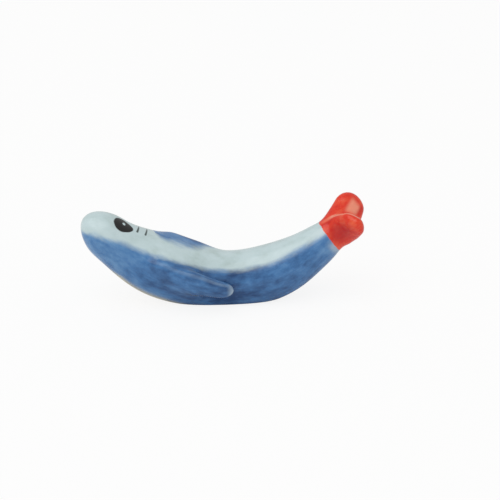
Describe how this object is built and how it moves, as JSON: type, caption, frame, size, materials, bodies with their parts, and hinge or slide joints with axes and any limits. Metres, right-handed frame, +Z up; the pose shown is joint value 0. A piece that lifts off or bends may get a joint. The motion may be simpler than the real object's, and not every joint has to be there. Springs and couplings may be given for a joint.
{
  "type": "chopstick rest",
  "caption": "Glazed ceramic chopstick rest in the form of a fish lying on its side: upcurved body on a flat foot, relief fins and a forked tail, with a dip for the sticks.",
  "frame": {"origin": "on the flat foot, in the middle plane, under the dip between head and tail", "axes": "+X from head to tail, +Z up from the foot, +Y toward the fish's back edge"},
  "size_m": [0.0691, 0.0207, 0.024],
  "materials": {
    "body_glaze": "gloss glaze, pale celadon above and brushed blue below, bare foot",
    "fin_glaze": "gloss glaze, brushed blue, thin and pale on the rims",
    "tail_glaze": "gloss glaze, brushed red, thin and pink on the rims"
  },
  "bodies": {
    "root": {"body": "body_glaze", "pectoral_fin": "fin_glaze", "dorsal_fin": "fin_glaze", "upper_tail_lobe": "tail_glaze", "lower_tail_lobe": "tail_glaze"}
  },
  "joints": []
}
